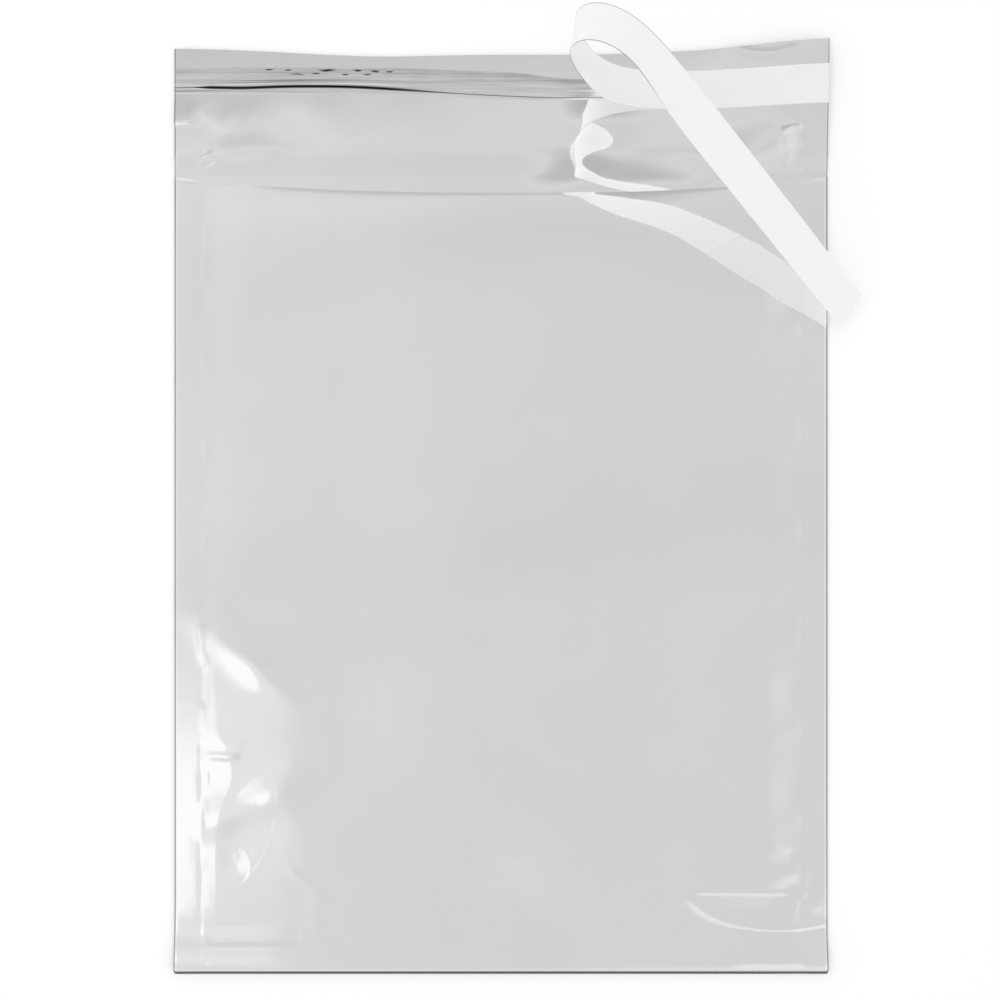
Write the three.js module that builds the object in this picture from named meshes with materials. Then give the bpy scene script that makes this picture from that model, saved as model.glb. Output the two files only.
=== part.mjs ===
// A foil mailing envelope: two foil films welded along both sides and the bottom, a closing flap
// with a self-seal adhesive strip, and the strip's release liner, peeled back from its left end.
// Millimetres, +Z up. The envelope lies on its back on Z = 0. X runs across it and Y runs up it
// towards the flap. The origin is the middle of the pocket's back.
import * as THREE from 'three';

// Film and pocket
const filmThickness = 0.15;
const envelopeWidth = 250;
const pocketLength = 305;
const mouthDip = 7.3;
const sideWeldWidth = 10;
const bottomWeldWidth = 16;

// How far an empty pocket stands open: the front film rises a little from its welds over two
// shoulders, and higher towards the middle of the mouth, where nothing holds it down.
const pocketGape = 1.6;
const sideShoulder = 30;
const bottomShoulder = 60;
const mouthGape = 3.5;
const mouthShoulder = 80;
const mouthRiseStart = 20;
const mouthRiseLength = 105;

// Flap
const flapLength = 50;
const foldGap = 0.3;
const foldClearance = 0.3;

// Self-seal strip, measured from the flap's free edge
const adhesiveWidth = 8.4;
const adhesiveThickness = 0.15;
const adhesiveFromFlapEdge = 10;
const adhesiveSideMargin = 1;

// Release liner: wider than the adhesive, so that its lower edge stays dry for a finger
const linerWidth = 14.3;
const linerThickness = 0.12;
const linerLength = 297;
const linerTopOverhang = 0.5;
const linerStuckLength = 58;

// The free liner's bends, each a bell of curvature along the strip: how far it turns in all, where
// it is and how widely it spreads, measured from the peel line, and how far its axis leans from
// square across the strip. The first lifts the liner, the second throws it over, and the third lets
// its end down on to the front.
const linerBends = [
  { turn: 1.277, at: 23.3, spread: 18.2, lean: 0.005 },
  { turn: 3.159, at: 94.1, spread: 21.9, lean: 0.448 },
  { turn: -0.72, at: 110, spread: 23, lean: 1.006 },
];

// Mesh steps
const weldSteps = 1;
const sideShoulderSteps = 6;
const bottomShoulderSteps = 7;
const plateauStepsAcross = 12;
const plateauStepsAlong = 14;
const linerStep = 2.5;

// Derived places
const halfWidth = envelopeWidth / 2;
const pocketBottomY = -pocketLength / 2;
const foldY = pocketLength / 2;
const flapStartY = foldY + foldGap;
const flapEndY = foldY + flapLength;
const adhesiveTopY = flapEndY - adhesiveFromFlapEdge;
const adhesiveZ = filmThickness;
const linerCentreY = adhesiveTopY + linerTopOverhang - linerWidth / 2;
const linerZ = adhesiveZ + adhesiveThickness;

// The flap folds about a line half-way up the closed stack, so that it closes over the open mouth.
const pocketTopZ = 2 * filmThickness + pocketGape + mouthGape;
const foldAxisZ = (pocketTopZ + foldClearance + filmThickness + adhesiveThickness) / 2;

const foilLook = { color: 0xd2d2d3, roughness: 0.12, metalness: 1.0 };

function foilMaterial() {
  return new THREE.MeshStandardMaterial(foilLook);
}

function adhesiveMaterial() {
  return new THREE.MeshStandardMaterial({ color: 0xbdbbba, roughness: 0.25, metalness: 0.6 });
}

function linerMaterial() {
  return new THREE.MeshStandardMaterial({ color: 0xf4f4f4, roughness: 0.45, metalness: 0.0 });
}

// Eases from 0 to 1, flat at both ends.
function ease(amount) {
  const t = THREE.MathUtils.clamp(amount, 0, 1);
  return t * t * (3 - 2 * t);
}

// Places from start to end in equal steps, without the start.
function stepsTo(start, end, count) {
  return Array.from({ length: count }, (_, i) => start + ((end - start) * (i + 1)) / count);
}

// A closed skin over a grid of paired points: outer(row, column) and inner(row, column) are the
// two faces, and the four rims join them.
function shellGeometry(rows, columns, outer, inner) {
  const positions = [];
  for (const face of [outer, inner]) {
    for (let r = 0; r < rows; r += 1) {
      for (let c = 0; c < columns; c += 1) {
        positions.push(...face(r, c));
      }
    }
  }
  const lastRow = rows - 1;
  const lastColumn = columns - 1;
  const outerAt = (r, c) => r * columns + c;
  const innerAt = (r, c) => rows * columns + outerAt(r, c);
  const indices = [];
  const quad = (a, b, c, d) => indices.push(a, b, c, a, c, d);
  for (let r = 0; r < lastRow; r += 1) {
    for (let c = 0; c < lastColumn; c += 1) {
      quad(outerAt(r, c), outerAt(r, c + 1), outerAt(r + 1, c + 1), outerAt(r + 1, c));
      quad(innerAt(r, c), innerAt(r + 1, c), innerAt(r + 1, c + 1), innerAt(r, c + 1));
    }
  }
  for (let c = 0; c < lastColumn; c += 1) {
    quad(outerAt(0, c + 1), outerAt(0, c), innerAt(0, c), innerAt(0, c + 1));
    quad(outerAt(lastRow, c), outerAt(lastRow, c + 1), innerAt(lastRow, c + 1), innerAt(lastRow, c));
  }
  for (let r = 0; r < lastRow; r += 1) {
    quad(outerAt(r, 0), outerAt(r + 1, 0), innerAt(r + 1, 0), innerAt(r, 0));
    quad(
      outerAt(r + 1, lastColumn), outerAt(r, lastColumn), innerAt(r, lastColumn), innerAt(r + 1, lastColumn),
    );
  }
  const geometry = new THREE.BufferGeometry();
  geometry.setAttribute('position', new THREE.Float32BufferAttribute(positions, 3));
  geometry.setIndex(indices);
  geometry.computeVertexNormals();
  return geometry;
}

// A flat piece of film or tape with its lower corner at (left, bottom, z).
function flatPiece(name, left, bottom, width, length, z, thickness, material) {
  const mesh = new THREE.Mesh(new THREE.BoxGeometry(width, length, thickness), material);
  mesh.name = name;
  mesh.position.set(left + width / 2, bottom + length / 2, z + thickness / 2);
  return mesh;
}

function backPanel() {
  return flatPiece(
    'back_panel', -halfWidth, pocketBottomY, envelopeWidth, pocketLength, 0, filmThickness, foilMaterial(),
  );
}

function closureFlap() {
  const length = flapEndY - flapStartY;
  return flatPiece(
    'closure_flap', -halfWidth, flapStartY, envelopeWidth, length, 0, filmThickness, foilMaterial(),
  );
}

function adhesiveStrip() {
  const length = envelopeWidth - 2 * adhesiveSideMargin;
  return flatPiece(
    'adhesive_strip', -length / 2, adhesiveTopY - adhesiveWidth, length, adhesiveWidth,
    adhesiveZ, adhesiveThickness, adhesiveMaterial(),
  );
}

// Columns of the front film from its left edge: weld, shoulder, flat middle, shoulder, weld.
function frontColumns() {
  const weldEdge = halfWidth - sideWeldWidth;
  const shoulderEdge = weldEdge - sideShoulder;
  return [
    -halfWidth,
    ...stepsTo(-halfWidth, -weldEdge, weldSteps),
    ...stepsTo(-weldEdge, -shoulderEdge, sideShoulderSteps),
    ...stepsTo(-shoulderEdge, shoulderEdge, plateauStepsAcross),
    ...stepsTo(shoulderEdge, weldEdge, sideShoulderSteps),
    ...stepsTo(weldEdge, halfWidth, weldSteps),
  ];
}

// Rows of the front film from its bottom edge to the mouth, before the mouth's dip.
function frontRows() {
  const weldEdge = pocketBottomY + bottomWeldWidth;
  const shoulderEdge = weldEdge + bottomShoulder;
  return [
    pocketBottomY,
    ...stepsTo(pocketBottomY, weldEdge, weldSteps),
    ...stepsTo(weldEdge, shoulderEdge, bottomShoulderSteps),
    ...stepsTo(shoulderEdge, foldY, plateauStepsAlong),
  ];
}

// How high the front film's lower face stands over the back film at a place on it.
function gapeAt(x, y) {
  const fromSideWeld = halfWidth - sideWeldWidth - Math.abs(x);
  const fromBottomWeld = y - pocketBottomY - bottomWeldWidth;
  const pocket = ease(fromSideWeld / sideShoulder) * ease(fromBottomWeld / bottomShoulder);
  const mouth = ease(fromSideWeld / mouthShoulder) * ease((y - mouthRiseStart) / mouthRiseLength);
  return pocketGape * pocket + mouthGape * mouth;
}

// The mouth's edge is an arc that dips towards the pocket in the middle. The rows above the bottom
// shoulder close up evenly to follow it.
function dippedY(x, y) {
  const shoulderEdge = pocketBottomY + bottomWeldWidth + bottomShoulder;
  const share = Math.max(0, (y - shoulderEdge) / (foldY - shoulderEdge));
  const across = x / halfWidth;
  return y - mouthDip * (1 - across * across) * share;
}

function frontPanel() {
  const columns = frontColumns();
  const rows = frontRows();
  const point = (r, c, lift) => {
    const y = dippedY(columns[c], rows[r]);
    return [columns[c], y, filmThickness + gapeAt(columns[c], rows[r]) + lift];
  };
  const geometry = shellGeometry(
    rows.length, columns.length,
    (r, c) => point(r, c, filmThickness),
    (r, c) => point(r, c, 0),
  );
  const mesh = new THREE.Mesh(geometry, foilMaterial());
  mesh.name = 'front_panel';
  return mesh;
}

// How fast the free liner turns at a distance from the peel line, in radians per mm: about the
// across direction as it bends, and about its heading as it twists.
function linerTurning(distance) {
  let bending = 0;
  let twisting = 0;
  for (const { turn, at, spread, lean } of linerBends) {
    const offset = (distance - at) / spread;
    const rate = (turn * Math.exp(-offset * offset)) / (spread * Math.sqrt(Math.PI));
    bending += rate;
    twisting -= rate * Math.tan(lean);
  }
  return { bending, twisting };
}

// Walks the liner from its stuck end: at each station it keeps the centre, the direction across
// the strip and the strip's normal. Each step goes along the heading half-way through its turn.
function linerStations() {
  const heading = new THREE.Vector3(-1, 0, 0);
  const across = new THREE.Vector3(0, 1, 0);
  const centre = new THREE.Vector3(halfWidth, linerCentreY, linerZ + linerThickness / 2);
  const freeLength = linerLength - linerStuckLength;
  const steps = Math.round(freeLength / linerStep);
  const step = freeLength / steps;
  const stations = [];
  const keep = () => {
    const normal = new THREE.Vector3().crossVectors(across, heading).normalize();
    stations.push({ centre: centre.clone(), across: across.clone(), normal });
  };
  const turnBy = (share, { bending, twisting }) => {
    const axis = across.clone().multiplyScalar(bending).addScaledVector(heading, twisting);
    const angle = axis.length() * step * share;
    const turn = new THREE.Quaternion().setFromAxisAngle(axis.normalize(), angle);
    heading.applyQuaternion(turn).normalize();
    across.applyQuaternion(turn).normalize();
  };
  keep();
  centre.addScaledVector(heading, linerStuckLength);
  keep();
  for (let i = 0; i < steps; i += 1) {
    const turning = linerTurning((i + 0.5) * step);
    turnBy(0.5, turning);
    centre.addScaledVector(heading, step);
    turnBy(0.5, turning);
    keep();
  }
  return stations;
}

function releaseLiner() {
  const stations = linerStations();
  const sides = [-linerWidth / 2, linerWidth / 2];
  const point = (r, c, offset) => {
    const { centre, across, normal } = stations[r];
    return centre.clone().addScaledVector(across, sides[c]).addScaledVector(normal, offset).toArray();
  };
  const geometry = shellGeometry(
    stations.length, sides.length,
    (r, c) => point(r, c, linerThickness / 2),
    (r, c) => point(r, c, -linerThickness / 2),
  );
  const mesh = new THREE.Mesh(geometry, linerMaterial());
  mesh.name = 'release_liner';
  return mesh;
}

const envelope = new THREE.Group();
envelope.name = 'foil_envelope';
envelope.userData.foldAxis = [0, foldY, foldAxisZ];
envelope.add(backPanel(), frontPanel(), closureFlap(), adhesiveStrip(), releaseLiner());

export default envelope;
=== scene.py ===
"""A foil mailing envelope, lying open and seen from straight above.

Every surface is worked out in millimetres, as a function on a grid, and put into its mesh in
metres. X runs across the envelope, Y runs along it towards the flap and Z is up. The pocket's back
lies on Z = 0.
"""

import math

import bpy
import numpy as np
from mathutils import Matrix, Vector


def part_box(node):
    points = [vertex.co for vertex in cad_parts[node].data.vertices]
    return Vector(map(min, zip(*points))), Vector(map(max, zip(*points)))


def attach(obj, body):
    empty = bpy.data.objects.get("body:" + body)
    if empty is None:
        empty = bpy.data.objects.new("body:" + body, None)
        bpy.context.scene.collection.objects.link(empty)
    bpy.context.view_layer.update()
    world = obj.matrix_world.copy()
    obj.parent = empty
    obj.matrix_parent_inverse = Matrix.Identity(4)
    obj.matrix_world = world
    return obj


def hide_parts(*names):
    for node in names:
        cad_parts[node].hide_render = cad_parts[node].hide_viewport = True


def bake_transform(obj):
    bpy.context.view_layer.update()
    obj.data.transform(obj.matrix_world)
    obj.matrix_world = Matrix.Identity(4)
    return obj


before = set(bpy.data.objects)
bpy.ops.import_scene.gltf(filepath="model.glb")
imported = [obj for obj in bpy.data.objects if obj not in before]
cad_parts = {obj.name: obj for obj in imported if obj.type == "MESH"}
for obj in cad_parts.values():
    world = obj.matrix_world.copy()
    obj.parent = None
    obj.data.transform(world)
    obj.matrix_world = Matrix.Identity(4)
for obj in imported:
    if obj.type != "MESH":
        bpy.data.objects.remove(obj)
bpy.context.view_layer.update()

MM = 0.001

# Sizes that the frame gives, in mm
BACK_LOW, BACK_HIGH = (np.array(c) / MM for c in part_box("back_panel"))
HALF_WIDTH = float(BACK_HIGH[0])
BOTTOM_Y = float(BACK_LOW[1])
FOLD_Y = float(BACK_HIGH[1])
FILM = float(BACK_HIGH[2] - BACK_LOW[2])
FLAP_END_Y = float(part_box("closure_flap")[1][1] / MM)
STRIP_BOTTOM_Y, STRIP_TOP_Y = (float(c[1] / MM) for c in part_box("adhesive_strip"))

# Pocket, in mm like the other pieces: its welds' widths, how far the middle of the mouth's edge
# dips, how high the front film stands in the middle and at the mouth, how high both films lift just
# inside the bottom edge and near the mouth, the turned-up left corner and the gap at the welds
SIDE_WELD = 10.0
BOTTOM_WELD = 16.0
MOUTH_DIP = 7.3
MIDDLE_GAPE = 1.9
MOUTH_GAPE = 3.2
EDGE_LIFT = 1.3
SWELL_LIFT = 1.7
LEFT_CORNER_BUMP = ((-134.0, -141.0), (15.0, 11.0), 0.45)
FILM_GAP = 0.02

# Flap: its right corner's lift and how far that end is drawn out, how high it lies, its waves, and
# how far its free edge dips in the middle and falls towards the left
CORNER_LIFT = 3.0
CORNER_REACH = 2.3
FLAP_SLACK = 0.35
FLAP_WAVE = 0.12
FREE_EDGE_DIP = 3.2
FREE_EDGE_TILT = 0.9

# Rolled rims: how far they drop and over what width, and where painted shade darkens them
RIM_DROP = 0.14
RIM_WIDTH = 0.5
BOTTOM_SHADE_WIDTH = 1.5
SIDE_SHADE_WIDTH = 0.42
SIDE_SHADE = 0.6

# Adhesive: its sag under the loop, the band over which it thins out at the top, its gap to the
# film, and its height without and with a run
STRIP_SAG = 2.1
STRIP_FEATHER = 2.0
STRIP_GAP = 0.01
STRIP_BODY = 0.06
STRIP_RUN = 0.1

# Liner: its size, the length still stuck, its place on the strip, its gap to the film, the height
# of its waves and its grid
LINER_WIDTH = 14.3
LINER_THICKNESS = 0.12
LINER_LENGTH = 297.0
LINER_STUCK = 58.0
LINER_PAST_STRIP = 0.5
LINER_CENTRE_Y = STRIP_TOP_Y + LINER_PAST_STRIP - LINER_WIDTH / 2
LINER_Z = 0.3
LINER_CLEAR = 0.1
LINER_WAVE = 0.1
LINER_STEP = 0.8
LINER_COLUMNS = 22

# Each bend: how far it turns, in radians, its place past the stuck end, its spread and its lean
LINER_BENDS = (
    dict(turn=1.277, at=23.3, spread=18.2, lean=0.005),
    dict(turn=3.159, at=94.1, spread=21.9, lean=0.448),
    dict(turn=-0.72, at=110.0, spread=23.0, lean=1.006),
)

# Each crease: its place along the liner, its slant, its width and its height
LINER_CREASES = (
    (39.0, 0.0, 1.2, 0.2),
    (41.5, 0.02, 0.8, -0.1),
    (193.0, 0.5, 1.0, 0.4),
    (240.0, 0.4, 1.0, 0.36),
)

# Camera: straight above, as near as the loop's perspective asks
CAMERA_X = -0.4
CAMERA_Y = 28.85
CAMERA_HEIGHT = 420.0
FIELD_WIDTH = 383.4
SENSOR_WIDTH = 36.0

# The table: half its width and its height, both in metres, and its own glow, which only the
# camera sees
FLOOR_REACH = 3.0
FLOOR_Z = -0.0004
FLOOR_GLOW = 0.035

# The plain light all round
AROUND = 0.93

# Painted light: what the liner glows with, standing for light that comes through it, where it is
# stuck and where it is free, and a stronger glow as the foil mirrors it, which paints its
# reflection brighter
LINER_GLOW_STUCK = 0.09
LINER_GLOW_FREE = 0.145
LINER_GLOW_MIRRORED = 0.435

# Painted shade round the liner's loop, a thin grey outline: how far in from the edge it starts
# and is full, in mm, and the stretch of the liner that has it, in metres along it, each end with
# its softness
OUTLINE_START = 0.36
OUTLINE_FULL = 0.12
OUTLINE_SHARE = 0.75
OUTLINE_STRETCH = ((0.1, 0.012), (0.182, 0.012))

# What the foil mirrors of the studio: levels by the direction's height, and factors by how far it
# leans across and along, each as a share of its height
SKY_BY_HEIGHT = (
    (0.0, 0.25), (0.1, 0.45), (0.22, 0.72), (0.4, 0.82), (0.6, 0.78), (0.75, 0.775), (1.0, 0.775),
)
SKY_ACROSS = (
    (-1.5, 0.95), (-0.8, 0.9), (-0.5, 1.1), (-0.41, 1.1), (-0.28, 1.0), (-0.05, 0.945),
    (0.29, 0.93), (0.36, 1.0), (0.44, 1.06), (0.5, 1.06), (0.62, 0.9), (1.0, 0.78), (1.5, 0.92),
)
SKY_ALONG = (
    (-1.5, 0.92), (-0.85, 0.95), (-0.6, 1.2), (-0.48, 1.2), (-0.42, 1.0), (-0.12, 1.0),
    (-0.05, 0.975), (0.03, 1.0), (0.12, 1.0), (0.2, 0.955), (0.28, 0.98), (0.34, 1.02),
    (0.45, 0.79), (0.6, 0.7), (0.9, 0.45), (1.2, 0.6), (1.5, 0.85),
)
SKY_REACH = 1.5
SKY_BAND_SLANT = 0.13

# The lowest direction that the leans are worked out for, as a height
LOWEST = 0.02

# The softbox and the glow round it: their sides in the same measure, each with its softness
SOFTBOX_ACROSS = ((-0.5, 0.016), (-0.268, 0.012))
SOFTBOX_ALONG = ((-0.375, 0.04), (-0.212, 0.044))
SOFTBOX_LEVEL = 1.1
GLOW_ACROSS = ((-0.75, 0.12), (-0.195, 0.024))
GLOW_ALONG = ((-0.4, 0.12), (-0.14, 0.06))
GLOW_GAIN = 0.14


# Soft shapes


def ease(t):
    """Goes from 0 to 1 as t does, flat at both ends: 3t squared minus 2t cubed."""
    t = np.clip(t, 0.0, 1.0)
    return t * t * (3 - 2 * t)


def bell(t):
    """A bell of height 1 at t = 0: e to the minus t squared."""
    return np.exp(-t * t)


def ridge(x, y, start, end, width, height, back=1.0):
    """A soft ridge along a straight line from start to end: a bell across it, eased off at its
    ends. Its left side, seen along the line, is wider by the factor back."""
    (ax, ay), (bx, by) = start, end
    length = math.hypot(bx - ax, by - ay)
    ux, uy = (bx - ax) / length, (by - ay) / length
    along = ((x - ax) * ux + (y - ay) * uy) / length
    off = (x - ax) * uy - (y - ay) * ux
    ends = ease(along / 0.3) * ease((1 - along) / 0.3)
    return height * bell(off / np.where(off > 0, width, width * back)) * ends


def dimple(x, y, place, radii, height, turned=0.0):
    """An oval bump or dent: a bell of the distance from its middle, measured in its radii."""
    c, s = math.cos(turned), math.sin(turned)
    dx, dy = x - place[0], y - place[1]
    along, off = dx * c + dy * s, dy * c - dx * s
    return height * bell(np.hypot(along / radii[0], off / radii[1]))


def arc_fold(x, y, centre, radii, turned, span, width, height):
    """A narrow fold along an oval's rim, over a span of angles: a bell across the rim."""
    c, s = math.cos(turned), math.sin(turned)
    dx, dy = x - centre[0], y - centre[1]
    along, off = (dx * c + dy * s) / radii[0], (dy * c - dx * s) / radii[1]
    r = np.hypot(along, off)
    angle = np.arctan2(off, along)
    middle, half = (span[0] + span[1]) / 2, (span[1] - span[0]) / 2
    away = np.abs((angle - middle + np.pi) % (2 * np.pi) - np.pi)
    ends = ease((half - away) / (0.35 * half))
    size = math.sqrt(radii[0] * radii[1])
    return height * bell((r - 1) * size / width) * ends


def above(height, floor, softness):
    """The larger of two heights, rounded where they cross: the floor plus half the sum of the
    height over it and the root of that height squared plus the softness."""
    over = height - floor
    return floor + (over + np.sqrt(over ** 2 + softness)) / 2


def ripples(t, lengths, seed):
    """A wavy line between about -1 and 1: sines of a few wavelengths with seeded phases, added up,
    the later ones lower."""
    rng = np.random.default_rng(seed)
    waves = [np.sin(2 * np.pi * (t / w + rng.random())) / (i + 1) for i, w in enumerate(lengths)]
    return sum(waves) / sum(1 / (i + 1) for i in range(len(lengths)))


def spaced(start, end, count, dense=()):
    """count places from start to end, packed closer near each (place, reach, gain) in dense: the
    steps are even in the running total of the wanted density."""
    fine = np.linspace(start, end, 4000)
    density = np.ones_like(fine)
    for place, reach, gain in dense:
        density += gain * bell((fine - place) / reach)
    total = np.concatenate([[0.0], np.cumsum((density[1:] + density[:-1]) / 2)])
    return np.interp(np.linspace(0, total[-1], count), total, fine)


# Meshes

UV_LAYER = "along"
SHARP_ANGLE = math.radians(50)


def grid_faces(rows, columns, start=0):
    """Quads of a grid of points, each turning from a column step towards a row step."""
    r, c = np.meshgrid(np.arange(rows - 1), np.arange(columns - 1), indexing="ij")
    a = start + r * columns + c
    return np.stack([a, a + 1, a + columns + 1, a + columns], axis=-1).reshape(-1, 4)


def rim_faces(rows, columns):
    """Quads that join the rims of two grids of points, the second after the first."""
    index = np.arange(rows * columns).reshape(rows, columns)
    loop = np.concatenate([index[0, :-1], index[:-1, -1], index[-1, :0:-1], index[:0:-1, 0]])
    after = np.roll(loop, -1)
    under = rows * columns
    return np.stack([loop, loop + under, after + under, after], axis=-1)


def film_piece(name, top, bottom, material, uv):
    """A closed sheet between two grids of points in mm: top and bottom faces and the rim between.
    uv holds two values at each point for the material: for the films the painted shade of their
    rolled rims, for the adhesive its beads painted dark as shade and dark reflections and its
    painted highlight line, and for the liner the distance along and across it in metres."""
    rows, columns = top.shape[:2]
    count = rows * columns
    points = np.concatenate([top.reshape(-1, 3), bottom.reshape(-1, 3)]) * MM
    faces = np.concatenate([
        grid_faces(rows, columns),
        grid_faces(rows, columns, count)[:, ::-1],
        rim_faces(rows, columns),
    ])
    mesh = bpy.data.meshes.new(name)
    mesh.from_pydata(points, [], faces.tolist())
    mesh.update()
    mesh.polygons.foreach_set("use_smooth", np.ones(len(mesh.polygons), bool))
    mesh.set_sharp_from_angle(angle=SHARP_ANGLE)
    layer = mesh.uv_layers.new(name=UV_LAYER)
    loops = np.empty(len(mesh.loops), np.int32)
    mesh.loops.foreach_get("vertex_index", loops)
    both = np.concatenate([uv.reshape(-1, 2), uv.reshape(-1, 2)])
    layer.data.foreach_set("uv", both[loops].astype(np.float32).ravel())
    mesh.materials.append(material)
    piece = bpy.data.objects.new(name, mesh)
    bpy.context.scene.collection.objects.link(piece)
    return piece


def normals_of(points):
    """Unit normals of a grid of points: the cross product of its column and row steps."""
    across = np.gradient(points, axis=1)
    along = np.gradient(points, axis=0)
    n = np.cross(across, along)
    return n / np.linalg.norm(n, axis=-1, keepdims=True)


# Liner


def liner_walk(step):
    """The liner's stations from its stuck end: the distance along it, its centre, its direction
    across and its normal at each. Each bend is a bell of curvature along the strip, twisted by its
    lean, and each step goes along the heading half-way through its turn."""
    free = LINER_LENGTH - LINER_STUCK
    steps = round(free / step)
    ds = free / steps
    s = (np.arange(steps) + 0.5) * ds
    bending, twisting = np.zeros(steps), np.zeros(steps)
    for b in LINER_BENDS:
        rate = b["turn"] * bell((s - b["at"]) / b["spread"]) / (b["spread"] * math.sqrt(math.pi))
        bending += rate
        twisting -= rate * math.tan(b["lean"])
    heading, across = np.array([-1.0, 0, 0]), np.array([0.0, 1, 0])
    centre = np.array([HALF_WIDTH - LINER_STUCK, LINER_CENTRE_Y, LINER_Z + LINER_THICKNESS / 2])
    stuck = np.linspace(0, LINER_STUCK, round(LINER_STUCK / step), endpoint=False)
    centres = [centre + np.array([LINER_STUCK - d, 0, 0]) for d in stuck]
    acrosses = [across.copy() for _ in stuck]
    headings = [heading.copy() for _ in stuck]

    def turned(v, axis, angle):
        c, s = math.cos(angle), math.sin(angle)
        return v * c + np.cross(axis, v) * s + axis * (axis @ v) * (1 - c)

    def keep():
        centres.append(centre.copy())
        acrosses.append(across.copy())
        headings.append(heading.copy())

    keep()
    for bend, twist in zip(bending, twisting):
        for half in (0, 1):
            axis = across * bend + heading * twist
            angle = np.linalg.norm(axis) * ds / 2
            axis = axis / max(np.linalg.norm(axis), 1e-12)
            heading, across = turned(heading, axis, angle), turned(across, axis, angle)
            if half == 0:
                centre = centre + heading * ds
        keep()
    along = np.concatenate([stuck, LINER_STUCK + np.arange(steps + 1) * ds])
    centres, acrosses, headings = np.array(centres), np.array(acrosses), np.array(headings)
    return along, centres, acrosses, np.cross(acrosses, headings)


def liner_points():
    """The liner's two faces: the walked strip, with small creases across it and slight waves along
    it. Near its stuck end it follows the flap."""
    along, centre, across, normal = liner_walk(LINER_STEP)
    v = np.linspace(-0.5, 0.5, LINER_COLUMNS)
    s, w = np.meshgrid(along, v * LINER_WIDTH, indexing="ij")
    lift = np.zeros_like(s)
    for place, lean, width, height in LINER_CREASES:
        lift += height * bell((s - place - lean * w) / width)
    lift += LINER_WAVE * ripples(s, (61, 37, 23), 5) * ease((s - LINER_STUCK) / 20)
    middle = centre[:, None] + across[:, None] * w[..., None] + normal[:, None] * lift[..., None]
    stuck_x = HALF_WIDTH - np.minimum(s, LINER_STUCK)
    under = np.maximum(back_surface(stuck_x, LINER_CENTRE_Y + w), 0)
    middle[..., 2] += (under + LINER_CLEAR) * ease(1 - (s - LINER_STUCK) / 60)
    middle[..., 1] += corner_pull(stuck_x, LINER_CENTRE_Y + w)
    half = normal[:, None] * (LINER_THICKNESS / 2)
    uv = np.stack([s * MM, (w + LINER_WIDTH / 2) * MM], axis=-1)
    return middle + half, middle - half, uv


def make_liner(material):
    top, bottom, uv = liner_points()
    piece = film_piece("peeled_liner", top, bottom, material, uv)
    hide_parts("release_liner")
    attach(piece, "liner")


# Films

# Where the grids are denser, so that the rolled side rims have points of their own: each place,
# its reach and its gain
CUT_SIDES = ((-HALF_WIDTH, 0.6, 8.0), (HALF_WIDTH, 0.6, 8.0))

# Each ridge: its start, its end, its width, its height and how much wider its left side is
FRONT_RIDGES = (
    # lower left
    ((-115.8, -14.1), (-114.3, -35.6), 1.5, 0.2, 1),
    ((-114.3, -47.8), (-113.9, -61.2), 1.3, 0.1, 1),
    ((-114.3, -69.2), (-99.1, -69.9), 1.1, 0.16, 1.6),
    ((-117.0, -60.5), (-96.3, -67.8), 2.4, 0.08, 2),
    ((-119.4, -98.9), (-78.1, -80.3), 6.0, 0.34, 1.2),
    ((-83.6, -111.5), (-67.1, -123.4), 1.6, 0.09, 1),
    ((-70.2, -116.8), (-70.2, -145.6), 3.0, 0.05, 1),
    ((-117.7, -136.4), (-72.8, -136.4), 0.8, 0.065, 1),
    ((-117.7, -142.1), (-70.8, -142.1), 0.8, 0.065, 1),
    ((-75.9, -134.0), (-75.9, -144.2), 0.7, 0.04, 1),
    # lower right
    ((63.0, -121.3), (124.0, -121.9), 0.55, 0.06, 1),
    ((114.4, -119.9), (110.8, -135.5), 0.9, 0.07, 1),
    ((115.8, -114.2), (115.8, -125.4), 1.2, 0.07, 1),
    ((99.0, -100.1), (119.2, -118.4), 3.0, 0.1, 1),
    ((78.4, -145.2), (119.2, -145.0), 0.8, 0.1, 1),
    ((84.4, -147.6), (119.2, -147.4), 1.6, 0.09, 1),
    ((91.6, -143.5), (91.6, -151.3), 0.6, 0.05, 1),
)

# Each arc: its oval's middle, radii and turn, its span of angles, its width and its height
FRONT_ARCS = (
    ((-98.9, -95.4), (12.0, 25.0), -0.28, (-1.2, 2.1), 0.5, 0.022),
    ((-103.5, -111.5), (7.5, 8.5), 0.2, (-2.4, 2.6), 0.5, 0.014),
    ((106.0, -121.6), (33.0, 14.0), 0.0, (-3.4, -0.7), 0.9, 0.17),
)

# Each dimple: its middle, its radii, its height and its turn
FRONT_DIMPLES = (
    ((-101.0, -28.6), (21.0, 6.6), 0.66, -0.705),
    ((-98.9, -95.4), (12.0, 19.0), -0.26, -0.28),
    ((-81.5, -83.5), (8.0, 9.0), 0.34, 0.0),
    ((-101.6, -85.0), (4.2, 2.6), -0.06, 0.4),
    ((-102.8, -109.9), (4.5, 6.0), -0.11, 0.4),
    ((-101.6, -108.0), (1.4, 1.4), 0.02, 0.0),
    ((-112.7, -78.1), (0.9, 3.6), 0.1, 0.0),
    ((-113.1, -93.8), (1.4, 7.0), 0.16, 0.0),
    ((-112.7, -33.6), (1.0, 2.8), 0.12, 0.0),
    ((98.2, -128.0), (17.0, 5.5), -0.05, 0.0),
    ((110.8, -107.6), (3.0, 3.4), -0.12, 0.6),
    ((102.0, -96.9), (0.5, 0.5), -0.06, 0.0),
    ((120.8, -126.4), (2.2, 2.6), 0.08, 0.0),
)

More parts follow.
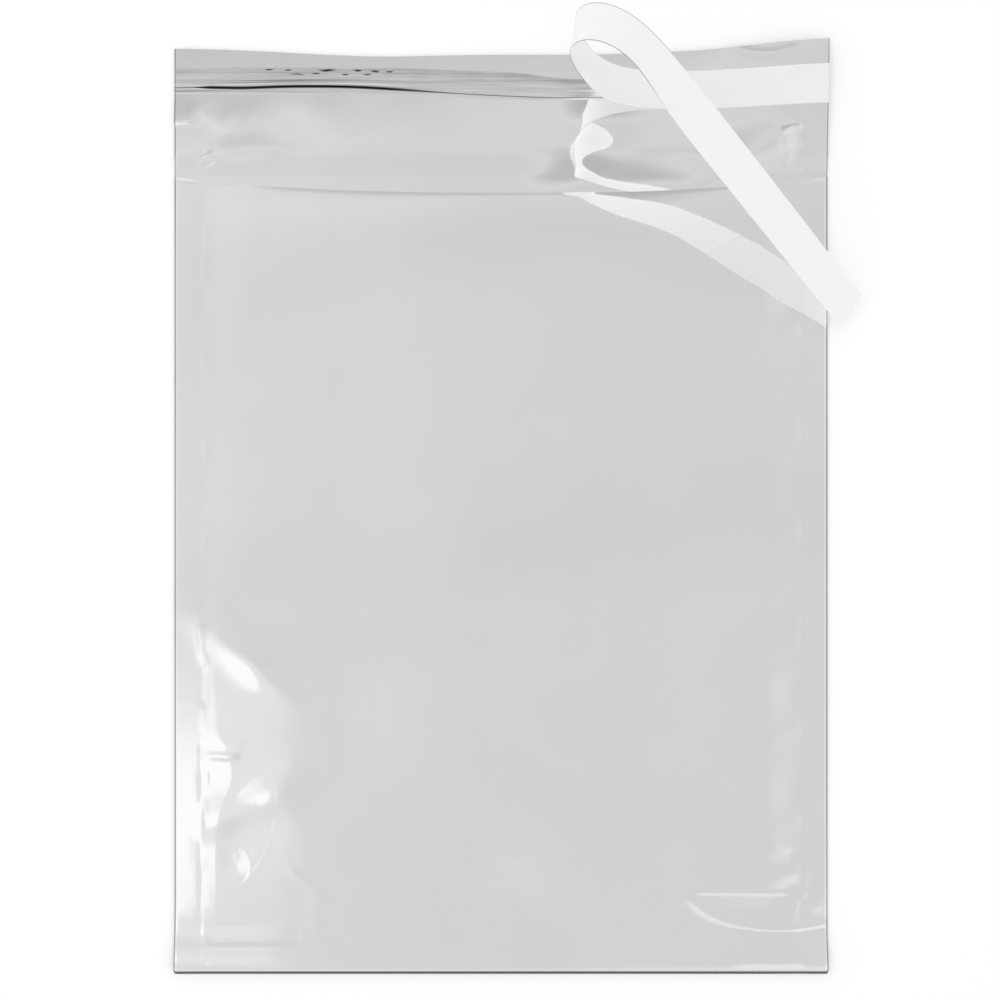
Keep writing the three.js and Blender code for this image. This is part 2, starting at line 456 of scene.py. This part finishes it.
FLAP_RIDGES = (
    # left end
    ((-133.0, 173.2), (-115.0, 173.8), 0.8, 0.44, 10),
    ((-118.5, 181.5), (-102.5, 170.0), 3.6, 0.1, 3),
    ((-116.5, 155.5), (-110.0, 162.6), 1.0, 0.14, 1.5),
    ((-114.0, 160.4), (-80.8, 163.8), 2.2, 0.23, 2.4),
    ((-117.0, 159.4), (-111.6, 161.2), 0.6, 0.07, 1),
    ((-113.5, 154.8), (-107.0, 159.0), 0.8, 0.07, 1),
    ((-108.0, 160.0), (-70.0, 188.0), 7.5, 0.2, 1.6),
    ((-73.2, 184.2), (-54.1, 155.3), 8.0, 0.1, 1),
    # right end
    ((72.0, 148.0), (117.0, 173.0), 6.0, 0.75, 1.6),
    ((105.6, 169.2), (116.6, 172.4), 0.9, 0.16, 1.5),
    ((107.0, 165.4), (117.0, 165.0), 1.3, 0.1, 1.5),
    ((107.7, 161.0), (117.7, 160.4), 1.5, 0.12, 1.5),
    ((106.2, 156.4), (116.9, 156.0), 1.7, 0.14, 1.5),
)
FLAP_ARCS = (
    ((111.2, 170.0), (3.6, 1.9), 0.4, (-0.6, 3.4), 0.5, 0.045),
    ((100.0, 208.0), (17.0, 8.5), -0.05, (-2.6, -0.5), 2.2, 0.1),
)
FLAP_DIMPLES = (
    ((-113.5, 159.0), (2.2, 3.4), -0.12, 0.5),
    ((114.0, 163.0), (4.0, 12.0), -0.2, 0.0),
    ((-98.0, 176.0), (9.0, 6.0), 0.12, 0.4),
    # under the loop
    ((38.0, 174.0), (12.0, 9.0), 1.2, 0.0),
    ((34.0, 155.0), (9.0, 5.0), 0.28, 0.0),
    ((20.0, 168.0), (10.0, 14.0), -0.5, 0.0),
)


def features(x, y, ridges, arcs, dimples):
    """The heights of all the listed ridges, arcs and dimples, added up."""
    height = np.zeros_like(x)
    for feature, rows in ((ridge, ridges), (arc_fold, arcs), (dimple, dimples)):
        for row in rows:
            height = height + feature(x, y, *row)
    return height


def dipped(x, y):
    """The mouth's edge is an arc that dips in the middle; the rows of the pocket's upper half close
    up to follow it."""
    up = (y - BOTTOM_Y) / (FOLD_Y - BOTTOM_Y)
    return y - MOUTH_DIP * (1 - (x / HALF_WIDTH) ** 2) * ease((up - 0.5) / 0.5)


def front_height(x, y):
    """How high the front film lies over its welds: it rises from them, a little more in the middle
    and most at the mouth, whose edge curls up at both ends and droops towards the middle. It has
    small puckers along the side welds, slack waves and the listed folds and dents, and it stays
    clear of the back film."""
    # How far a point lies inside the left, right and bottom welds
    left = x + HALF_WIDTH - SIDE_WELD
    right = HALF_WIDTH - SIDE_WELD - x
    low = y - BOTTOM_Y - BOTTOM_WELD

    # The rise from the welds: steepest at the lower left
    side_rise = 0.42 - 0.22 * ease((y + 45) / 30)
    side_rise = side_rise + 0.13 * ripples(y, (83, 47, 29), 9) * ease((y + 40) / 30)
    side_width = 6.0 + 6.8 * bell((y + 76) / 12) + 12 * ease((y + 40) / 60)
    gape = side_rise * ease(left / side_width) * ease(right / 16) * ease(low / 45)
    middle = MIDDLE_GAPE * np.cos(np.pi / 2 * np.clip(x / 66, -1, 1)) ** 2 * ease((low - 5) / 80)
    middle = middle + MOUTH_GAPE * mouth_share(x) * ease((y - 35) / 117)

    # The welds' inner edges, the puckers beside them and the slack
    grooves = -0.02 * (bell(left / 0.7) + bell(right / 0.7))
    left_puckers = 0.05 * bell((left - 1.5) / 1.6) * ripples(y, (37, 17, 9.3), 4)
    right_puckers = 0.12 * bell((right - 4) / 7) * ripples(y + 0.3 * right, (38, 19, 11), 17)
    slack = 0.012 * ripples(x, (41, 23, 13), 6) * ease(low / 60)

    # The mouth's edge
    edge = dipped(x, np.full_like(y, FOLD_Y)) - y
    curl = -0.05 + 0.37 * bell((x + 122) / 18) + 0.4 * bell((x - 119) / 9)
    droop = (0.3 + 1.0 * ease((x - 20) / 34)) * mouth_share(x) * np.exp(-np.abs(edge) / 11)
    mouth = curl * bell(edge / 0.8) - droop

    folds = features(x, y, FRONT_RIDGES, FRONT_ARCS, FRONT_DIMPLES)
    puckers = left_puckers + right_puckers * ease((right + 4) / 6)
    height = gape + middle + grooves + puckers + slack + mouth + folds + rim_lift(x)
    return above(height, swell(x, y), 0.003)


def make_front_film(material):
    x = spaced(-HALF_WIDTH, HALF_WIDTH, 202, [(-103, 20, 4.0), (103, 24, 2.6), *CUT_SIDES])
    y = spaced(
        BOTTOM_Y, FOLD_Y, 243,
        [(-135, 24, 2.6), (-80, 50, 2.0), (FOLD_Y, 4, 4.0), (BOTTOM_Y, 2, 6.0)],
    )
    x, y = np.meshgrid(x, y)
    y = dipped(x, y)
    base = back_lift(x, y)
    lower = np.stack([x, y, FILM + FILM_GAP + base + front_height(x, y)], axis=-1)
    upper = lower + normals_of(lower) * FILM
    piece = film_piece("front_film", upper, lower, material, rim_painted_shade(x, y))
    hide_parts("front_panel")
    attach(piece, "pocket")


def rim_lift(x):
    """The cut side edges of the films roll down a little: the films lie higher inside them."""
    return RIM_DROP * ease((HALF_WIDTH - np.abs(x)) / RIM_WIDTH)


def rim_painted_shade(x, y):
    """How much painted shade darkens the films' rolled rims, from 0 to 1: full along the bottom,
    and fainter along the sides. The second value is 0."""
    bottom = ease((BOTTOM_SHADE_WIDTH - (y - BOTTOM_Y)) / 0.4)
    sides = SIDE_SHADE * ease((SIDE_SHADE_WIDTH - (HALF_WIDTH - np.abs(x))) / 0.2)
    shade = np.maximum(bottom, sides)
    return np.stack([shade, np.zeros_like(shade)], axis=-1)


def back_lift(x, y):
    """Where both films lift off the table together: the pocket's cut bottom edge rolls down, and
    its left corner turns up a little."""
    from_end = y - BOTTOM_Y
    corner = dimple(x, y, *LEFT_CORNER_BUMP)
    return corner + EDGE_LIFT * (ease(from_end / 1.5) - ease((from_end - 3) / 15))


def mouth_share(x):
    """How freely the films move near the mouth: not at the side welds and fully in the middle."""
    return ease((HALF_WIDTH - SIDE_WELD - np.abs(x)) / 85)


def swell(x, y):
    """How far the back film lifts near the mouth, right of the middle."""
    return SWELL_LIFT * bell((y - FOLD_Y + 4) / 10) * mouth_share(x) * ease((x - 2) / 36)


def back_surface(x, y):
    """How high the back film lies: flat under the pocket; the flap has soft waves, its listed folds
    and a right corner that lifts off the table."""
    on_flap = ease((y - FOLD_Y + 12) / 8)
    corner = CORNER_LIFT * ease((x - 60) / 75) * ease((y - FOLD_Y) / 60)
    waves = FLAP_WAVE * ripples(x + 0.5 * y, (90, 60, 37), 21)
    waves = waves * ease((y - FOLD_Y) / 15) * bell((y - FOLD_Y - 18) / 16)
    folds = features(x, y, FLAP_RIDGES, FLAP_ARCS, FLAP_DIMPLES) * on_flap
    slack = (FLAP_SLACK - RIM_DROP + rim_lift(x)) * ease((y - FOLD_Y) / 10)
    lift = swell(x, y) + corner + waves + folds + slack
    return above(lift, 0.0, 0.1 * slack) + back_lift(x, y)


def corner_pull(x, y):
    """How far the flap's right end is drawn away from the pocket, in full 34 mm past the fold."""
    return CORNER_REACH * ease((x - 72) / 60) * ease((y - FOLD_Y) / 34)


def flap_reach(x, y):
    """The flap's free edge isn't quite straight: it dips in the middle and rises at the right."""
    dip = FREE_EDGE_DIP * ease((x + 125) / 90) * ease((130 - x) / 110)
    dip = dip + FREE_EDGE_TILT * ease(-x / 60)
    return y - dip * ease((y - STRIP_TOP_Y) / 8) + corner_pull(x, y)


def make_back_film(material):
    x = spaced(-HALF_WIDTH, HALF_WIDTH, 215, [(-108, 16, 2.0), (108, 18, 2.0), *CUT_SIDES])
    y = np.concatenate([
        spaced(BOTTOM_Y, FOLD_Y - 12, 60, [(BOTTOM_Y, 6, 6.0)])[:-1],
        spaced(FOLD_Y - 12, FLAP_END_Y, 150),
    ])
    x, y = np.meshgrid(x, y)
    y = flap_reach(x, y)
    lower = np.stack([x, y, back_surface(x, y)], axis=-1)
    upper = lower + normals_of(lower) * FILM
    piece = film_piece("back_film", upper, lower, material, rim_painted_shade(x, y))
    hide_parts("back_panel", "closure_flap")
    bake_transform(piece)


# Each blob along the adhesive's upper edge, raised a little and painted dark as a dark
# reflection: its middle and its radii
STRIP_BLOBS = (
    ((-88.8, 193.6), (1.5, 0.3)),
    ((-81.5, 193.4), (1.2, 0.28)),
    ((-66.6, 193.3), (3.0, 0.5)),
    ((-54.8, 193.3), (1.5, 0.42)),
    ((-48.2, 193.0), (1.6, 0.4)),
    ((-42.7, 192.9), (1.4, 0.3)),
    ((-78.0, 191.8), (2.6, 0.2)),
    ((-70.9, 192.0), (1.6, 0.26)),
    ((-59.6, 191.7), (1.2, 0.28)),
    ((-51.2, 191.7), (1.4, 0.26)),
)


def strip_beads_painted_dark(x, y):
    """How far the adhesive is raised into beads and painted dark, from 0 to 1: a line of painted
    shade along its lower edge that thins out to the right, two finer dark lines over it, a faint
    one over those, a row of blobs along its upper edge painted as dark reflections and broad
    painted shade right of them."""
    t = y - STRIP_BOTTOM_Y

    # The line of painted shade along the lower edge: its height on the strip, its width and where
    # it thins out
    line = 0.95 + 2.1 * bell((x + 72) / 44) + ease((-x - 95) / 25)
    width = 0.14 + 0.46 * ease((x + 119) / 9)
    thinned = ease((x + 46) / 32)
    low = bell(((t - line) / (width * (1 - 0.72 * thinned))) ** 2) * (1 - 0.35 * thinned)

    # The broad painted shade, the fainter dark lines and the row along the top
    broad_painted_shade = (0.1 + 0.05 * ripples(x, (19, 11, 5.3), 31)) * ease((t - 5.4) / 1.8)
    broad_painted_shade = broad_painted_shade * ease((x + 66) / 40)
    rim = 0.4 * bell((t - line + 1.4) / 0.25) * bell((x + 120) / 12)
    arch = bell((x + 70) / 30)
    fine = 0.8 * bell((t - 5.1 - 0.3 * arch) / 0.22) * (0.12 + 0.8 * bell((x + 78) / 22))
    finer = 0.6 * bell((t - 4.5 - 0.2 * arch) / 0.2) * (0.2 + 0.75 * bell((x + 84) / 26))
    top = 0.25 * bell((t - 8.2) / 0.5) * (0.6 + 0.4 * ripples(x, (53, 37, 19), 14))

    blobs = np.zeros_like(x)
    wavy = y - 0.12 * ripples(x, (7.3, 4.1), 3)
    for place, radii in STRIP_BLOBS:
        away = np.hypot((x - place[0]) / radii[0], (wavy - place[1]) / radii[1])
        blobs = np.maximum(blobs, bell(away ** 1.5))

    lines = np.maximum.reduce([low, rim, fine, finer, top, broad_painted_shade, blobs])
    return lines * ease((HALF_WIDTH - LINER_STUCK + 2 - x) / 4)


def make_seal_strip(material):
    """The adhesive: a thin raised band on the flap, with beads and blobs along it that are painted
    black as shade and dark reflections, and a painted highlight line between them. It sags before
    it goes under the liner, and is narrower there."""
    x = spaced(-HALF_WIDTH + 0.4, HALF_WIDTH - 0.4, 540)
    y = np.linspace(STRIP_BOTTOM_Y, STRIP_TOP_Y + STRIP_FEATHER, 90)
    x, y = np.meshgrid(x, y)
    # Raised beads, which the material also paints black as shade and dark reflections
    painted_marks = strip_beads_painted_dark(x, y)
    sag = STRIP_SAG * ease((x + 60) / 85) * ease((95 - x) / 30)
    under_liner = (y - STRIP_BOTTOM_Y) * (1 - 0.22 * ease(x / 30)) + STRIP_BOTTOM_Y - sag
    base = back_surface(x, under_liner) + FILM
    edge = ease((y - STRIP_BOTTOM_Y) / 0.6) * ease((STRIP_TOP_Y + STRIP_FEATHER - y) / 2.4)
    laid = under_liner + corner_pull(x, under_liner)
    lower = np.stack([x, laid, base + STRIP_GAP], axis=-1)
    body = (STRIP_BODY + STRIP_RUN * painted_marks) * edge
    upper = np.stack([x, laid, base + 2 * STRIP_GAP + body], axis=-1)
    # A painted highlight: a bright line along the adhesive between its beads
    painted_highlight = bell((y - STRIP_BOTTOM_Y - 2.6 - 1.9 * bell((x + 72) / 44)) / 0.3)
    painted_highlight = painted_highlight * (0.5 + 0.4 * ripples(x, (47, 29), 8))
    uv = np.stack([painted_marks, painted_highlight], axis=-1)
    piece = film_piece("seal_strip", upper, lower, material, uv)
    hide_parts("adhesive_strip")
    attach(piece, "flap")


# Materials

# The part of its range that a noise mostly stays in
NOISE_SPAN = (0.3, 0.7)


class Nodes:
    """A short way to add nodes to a tree and join them. An input is a value, a socket or a node,
    which stands for its first output."""

    def __init__(self, tree):
        self.tree = tree

    def feed(self, node, inputs):
        for key, value in inputs.items():
            if isinstance(value, bpy.types.Node):
                value = value.outputs[0]
            if isinstance(value, bpy.types.NodeSocket):
                self.tree.links.new(value, node.inputs[key])
            else:
                node.inputs[key].default_value = value

    def add(self, kind, inputs=None, **settings):
        node = self.tree.nodes.new(kind)
        for key, value in settings.items():
            setattr(node, key, value)
        self.feed(node, inputs or {})
        return node

    def maths(self, operation, *values):
        """A maths node on up to three values."""
        return self.add("ShaderNodeMath", dict(enumerate(values)), operation=operation).outputs[0]

    def mapped(self, value, low, high, to_low=0.0, to_high=1.0, **settings):
        """Brings a value from one range on to another, and holds it there."""
        ranges = {"From Min": low, "From Max": high, "To Min": to_low, "To Max": to_high}
        return self.add("ShaderNodeMapRange", {"Value": value, **ranges}, **settings)

    def noise(self, place, scale, detail, roughness=0.5):
        """A cloudy noise of about 0 to 1."""
        inputs = {"Vector": place, "Scale": scale, "Detail": detail, "Roughness": roughness}
        return self.add("ShaderNodeTexNoise", inputs).outputs["Fac"]

    def bump(self, height, strength, distance):
        inputs = {"Height": height, "Strength": strength, "Distance": distance}
        return self.add("ShaderNodeBump", inputs).outputs["Normal"]

    def toned(self, noise, dark, light):
        """Two colours, one where the noise is low and the other where it is high."""
        node = self.add("ShaderNodeValToRGB", {"Fac": noise})
        for element, place, color in zip(node.color_ramp.elements, NOISE_SPAN, (dark, light)):
            element.position, element.color = place, (*color, 1)
        return node.outputs["Color"]

    def mixed(self, share, first, second):
        """The first colour, with its share of the second mixed in."""
        inputs = {"Fac": share, "Color1": first, "Color2": (*second, 1)}
        return self.add("ShaderNodeMixRGB", inputs).outputs["Color"]

    def split(self, vector):
        """The vector's X, Y and Z, by those names."""
        return self.add("ShaderNodeSeparateXYZ", {"Vector": vector}).outputs

    def stretched(self, vector, scale):
        return self.add("ShaderNodeMapping", {"Vector": vector, "Scale": scale})

    def uv(self):
        """The two values that film_piece keeps at each point."""
        return self.add("ShaderNodeUVMap", uv_map=UV_LAYER).outputs["UV"]

    def place(self):
        """The place on the piece, in metres."""
        return self.add("ShaderNodeTexCoord").outputs["Object"]


def plain_material(name):
    """A new material, its nodes and its shader."""
    material = bpy.data.materials.new(name)
    material.use_nodes = True
    return material, Nodes(material.node_tree), material.node_tree.nodes["Principled BSDF"]


def foil_material():
    """Bright metallised film: nearly a mirror, with a faint haze and fine creases, and painted
    shade, near black, where its cut rims roll down."""
    material, nodes, shader = plain_material("metallised_film")
    place = nodes.place()
    haze = nodes.noise(place, 18.0, 4.0, 0.6)
    tone = nodes.toned(haze, (0.868, 0.868, 0.874), (0.892, 0.892, 0.898))
    nodes.feed(shader, {
        # Painted shade: near black along the rolled rims, where the first uv value is high
        "Base Color": nodes.mixed(nodes.split(nodes.uv())["X"], tone, (0.01, 0.01, 0.01)),
        "Metallic": 1.0,
        "Roughness": nodes.mapped(haze, *NOISE_SPAN, 0.035, 0.065),
        "Normal": nodes.bump(nodes.noise(place, 160.0, 3.0), 0.05, 0.0003),
    })
    return material


def adhesive_material():
    """Clear tacky layer over the film: the film's tone, a little darker and less sharp, with faint
    streaks along it. Its raised beads are painted black as shade and dark reflections, and the
    line between them is a painted highlight."""
    material, nodes, shader = plain_material("seal_adhesive")
    streaks = nodes.noise(nodes.stretched(nodes.place(), (0.25, 6.0, 1.0)), 90.0, 3.0)
    tone = nodes.toned(streaks, (0.77, 0.76, 0.745), (0.87, 0.86, 0.845))
    painted_marks = nodes.split(nodes.uv())
    # Painted highlight: the bright line, where the second uv value is high
    lit = nodes.mixed(painted_marks["Y"], tone, (1.0, 0.99, 0.95))
    nodes.feed(shader, {
        # Painted shade and dark reflections: near black where the first uv value is high
        "Base Color": nodes.mixed(painted_marks["X"], lit, (0.004, 0.004, 0.004)),
        "Metallic": 1.0,
        "Roughness": 0.16,
        "Normal": nodes.bump(streaks, 0.3, 0.0004),
    })
    return material


def liner_material():
    """Smooth white release film: semi-gloss, with faint streaks along it, painted shade as a thin
    grey outline round its loop, and painted light: a glow that stands for light coming through it,
    stronger where the foil mirrors it, which paints its reflection brighter."""
    material, nodes, shader = plain_material("release_film")
    uv = nodes.uv()
    streaks = nodes.noise(nodes.stretched(uv, (0.15, 4.0, 1.0)), 120.0, 3.0)
    tone = nodes.toned(streaks, (0.772, 0.772, 0.772), (0.784, 0.784, 0.784))
    parts = nodes.split(uv)
    half = LINER_WIDTH / 2
    # Painted shade: a thin grey outline along the loop's edges, which also dims its glow
    from_middle = nodes.maths("ABSOLUTE", nodes.maths("SUBTRACT", parts["Y"], half * MM))
    rim = nodes.mapped(from_middle, (half - OUTLINE_START) * MM, (half - OUTLINE_FULL) * MM)
    loop = patch(nodes, ((parts["X"], OUTLINE_STRETCH),))
    edge = nodes.maths("MULTIPLY", nodes.maths("MULTIPLY", rim, loop), OUTLINE_SHARE)
    # Painted light: the liner glows, more where it is free, and most in the foil's mirror image
    free = nodes.mapped(parts["X"], 0.055, 0.085, LINER_GLOW_STUCK, LINER_GLOW_FREE)
    mirrored = nodes.add("ShaderNodeLightPath").outputs["Is Glossy Ray"]
    glow = nodes.mapped(mirrored, 0.0, 1.0, free, LINER_GLOW_MIRRORED)
    nodes.feed(shader, {
        "Base Color": nodes.mixed(edge, tone, (0.2, 0.2, 0.2)),
        "Roughness": 0.38,
        "Normal": nodes.bump(streaks, 0.03, 0.0003),
        "Emission Color": (1, 0.99, 0.968, 1),
        "Emission Strength": nodes.maths("MULTIPLY", glow, nodes.maths("SUBTRACT", 1.0, edge)),
    })
    return material


# Stage


def make_camera():
    """The camera looks straight down, with +Y up in the picture."""
    data = bpy.data.cameras.new("camera")
    data.sensor_width = SENSOR_WIDTH
    data.lens = SENSOR_WIDTH * CAMERA_HEIGHT / FIELD_WIDTH
    data.clip_start, data.clip_end = 0.01, 20
    camera = bpy.data.objects.new("camera", data)
    camera.location = (CAMERA_X * MM, CAMERA_Y * MM, CAMERA_HEIGHT * MM)
    bpy.context.scene.collection.objects.link(camera)
    bpy.context.scene.camera = camera


def make_world():
    """A white surround. What the foil mirrors of it is bright overhead and darker low down, with a
    softbox and its glow towards the lower left."""
    world = bpy.data.worlds.new("studio")
    bpy.context.scene.world = world
    world.use_nodes = True
    tree = world.node_tree
    nodes = Nodes(tree)
    direction = nodes.add("ShaderNodeTexCoord").outputs["Generated"]
    parts = nodes.split(direction)
    up = nodes.maths("MAXIMUM", parts["Z"], LOWEST)
    across = nodes.maths("DIVIDE", parts["X"], up)
    along = nodes.maths("DIVIDE", parts["Y"], up)
    slanted = nodes.maths("SUBTRACT", along, nodes.maths("MULTIPLY", across, SKY_BAND_SLANT))
    sky = level_ramp(nodes, parts["Z"], SKY_BY_HEIGHT)
    for lean, stops in ((across, SKY_ACROSS), (slanted, SKY_ALONG)):
        sky = nodes.maths("MULTIPLY", sky, level_ramp(nodes, *spread(nodes, lean, stops)))
    glow = patch(nodes, ((across, GLOW_ACROSS), (along, GLOW_ALONG)))
    sky = nodes.maths("MULTIPLY", sky, nodes.maths("MULTIPLY_ADD", glow, GLOW_GAIN, 1.0))
    box = patch(nodes, ((across, SOFTBOX_ACROSS), (along, SOFTBOX_ALONG)))
    sky = nodes.add("ShaderNodeMix", {"Factor": box, "A": sky, "B": SOFTBOX_LEVEL})
    ray = nodes.add("ShaderNodeLightPath").outputs
    lit = nodes.add("ShaderNodeMix", {"Factor": ray["Is Glossy Ray"], "A": AROUND, "B": sky})
    seen = nodes.add("ShaderNodeMix", {"Factor": ray["Is Camera Ray"], "A": lit, "B": 1.0})
    nodes.feed(tree.nodes["Background"], {"Color": seen})


def spread(nodes, value, stops):
    """Brings a lean, and the places of its stops, on to 0 to 1."""
    placed = nodes.mapped(value, -SKY_REACH, SKY_REACH)
    return placed, [((place + SKY_REACH) / (2 * SKY_REACH), level) for place, level in stops]


def patch(nodes, limits):
    """1 where every value lies between its two sides and 0 elsewhere, with soft edges."""
    mask = None
    for value, sides in limits:
        for (place, soft), turn in zip(sides, (1, -1)):
            reach = turn * soft
            side = nodes.mapped(
                value, place - reach, place + reach, interpolation_type="SMOOTHSTEP",
            )
            mask = side if mask is None else nodes.maths("MULTIPLY", mask, side)
    return mask


def level_ramp(nodes, value, stops):
    """Grey levels along a value, as a list of places and levels."""
    node = nodes.add("ShaderNodeValToRGB", {"Fac": value})
    ramp = node.color_ramp
    ramp.elements[0].position, ramp.elements[-1].position = stops[0][0], stops[-1][0]
    for place, _ in stops[1:-1]:
        ramp.elements.new(place)
    for element, (_, level) in zip(ramp.elements, stops):
        element.color = (level, level, level, 1)
    return node.outputs["Color"]


def make_lamp():
    """A soft box high up to the left, turned to face the middle, that the foil doesn't mirror. Its
    place and size are in metres."""
    data = bpy.data.lights.new("overhead", "AREA")
    data.shape = "RECTANGLE"
    data.size, data.size_y = 1.0, 1.0
    data.energy = 1.5
    place = Vector((-0.6, 0.35, 1.2))
    lamp = bpy.data.objects.new("overhead", data)
    lamp.location = place
    lamp.visible_glossy = False
    lamp.rotation_euler = (-place).to_track_quat("-Z", "Y").to_euler()
    bpy.context.scene.collection.objects.link(lamp)


def make_floor():
    """A wide white table, a hair below the part."""
    mesh = bpy.data.meshes.new("floor")
    corners = [(x * FLOOR_REACH, y * FLOOR_REACH) for x, y in ((-1, -1), (1, -1), (1, 1), (-1, 1))]
    mesh.from_pydata([(x, y, FLOOR_Z) for x, y in corners], [], [(0, 1, 2, 3)])
    material, nodes, shader = plain_material("white_table")
    ray = nodes.add("ShaderNodeLightPath").outputs
    nodes.feed(shader, {
        "Base Color": (0.985, 0.985, 0.985, 1),
        "Roughness": 1.0,
        "Specular IOR Level": 0.0,
        "Emission Color": (1, 1, 1, 1),
        "Emission Strength": nodes.maths("MULTIPLY", ray["Is Camera Ray"], FLOOR_GLOW),
    })
    mesh.materials.append(material)
    floor = bpy.data.objects.new("floor", mesh)
    bpy.context.scene.collection.objects.link(floor)


bpy.context.scene.view_settings.view_transform = "Standard"
make_camera()
make_world()
make_lamp()
make_floor()
foil = foil_material()
make_liner(liner_material())
make_front_film(foil)
make_back_film(foil)
make_seal_strip(adhesive_material())
